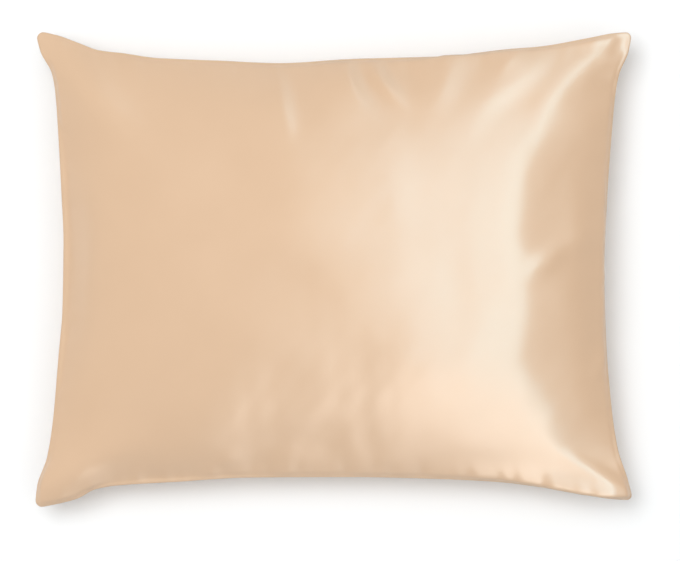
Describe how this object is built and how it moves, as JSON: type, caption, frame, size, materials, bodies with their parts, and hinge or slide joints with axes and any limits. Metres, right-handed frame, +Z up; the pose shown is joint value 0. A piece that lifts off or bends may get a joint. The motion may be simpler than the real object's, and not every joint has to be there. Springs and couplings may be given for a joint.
{
  "type": "filled pillowcase",
  "caption": "Filled satin pillowcase lying on its back, with a crowned face, drawn-in sides and pointed corners.",
  "frame": {"origin": "centre of the footprint, on the surface that the case lies on", "axes": "+X along the long side, +Y along the short side, +Z up out of the front face"},
  "size_m": [0.6434, 0.512, 0.1515],
  "materials": {
    "satin": "pale peach satin weave with a soft directional sheen"
  },
  "bodies": {
    "root": {"pillowcase": "satin"}
  },
  "joints": []
}
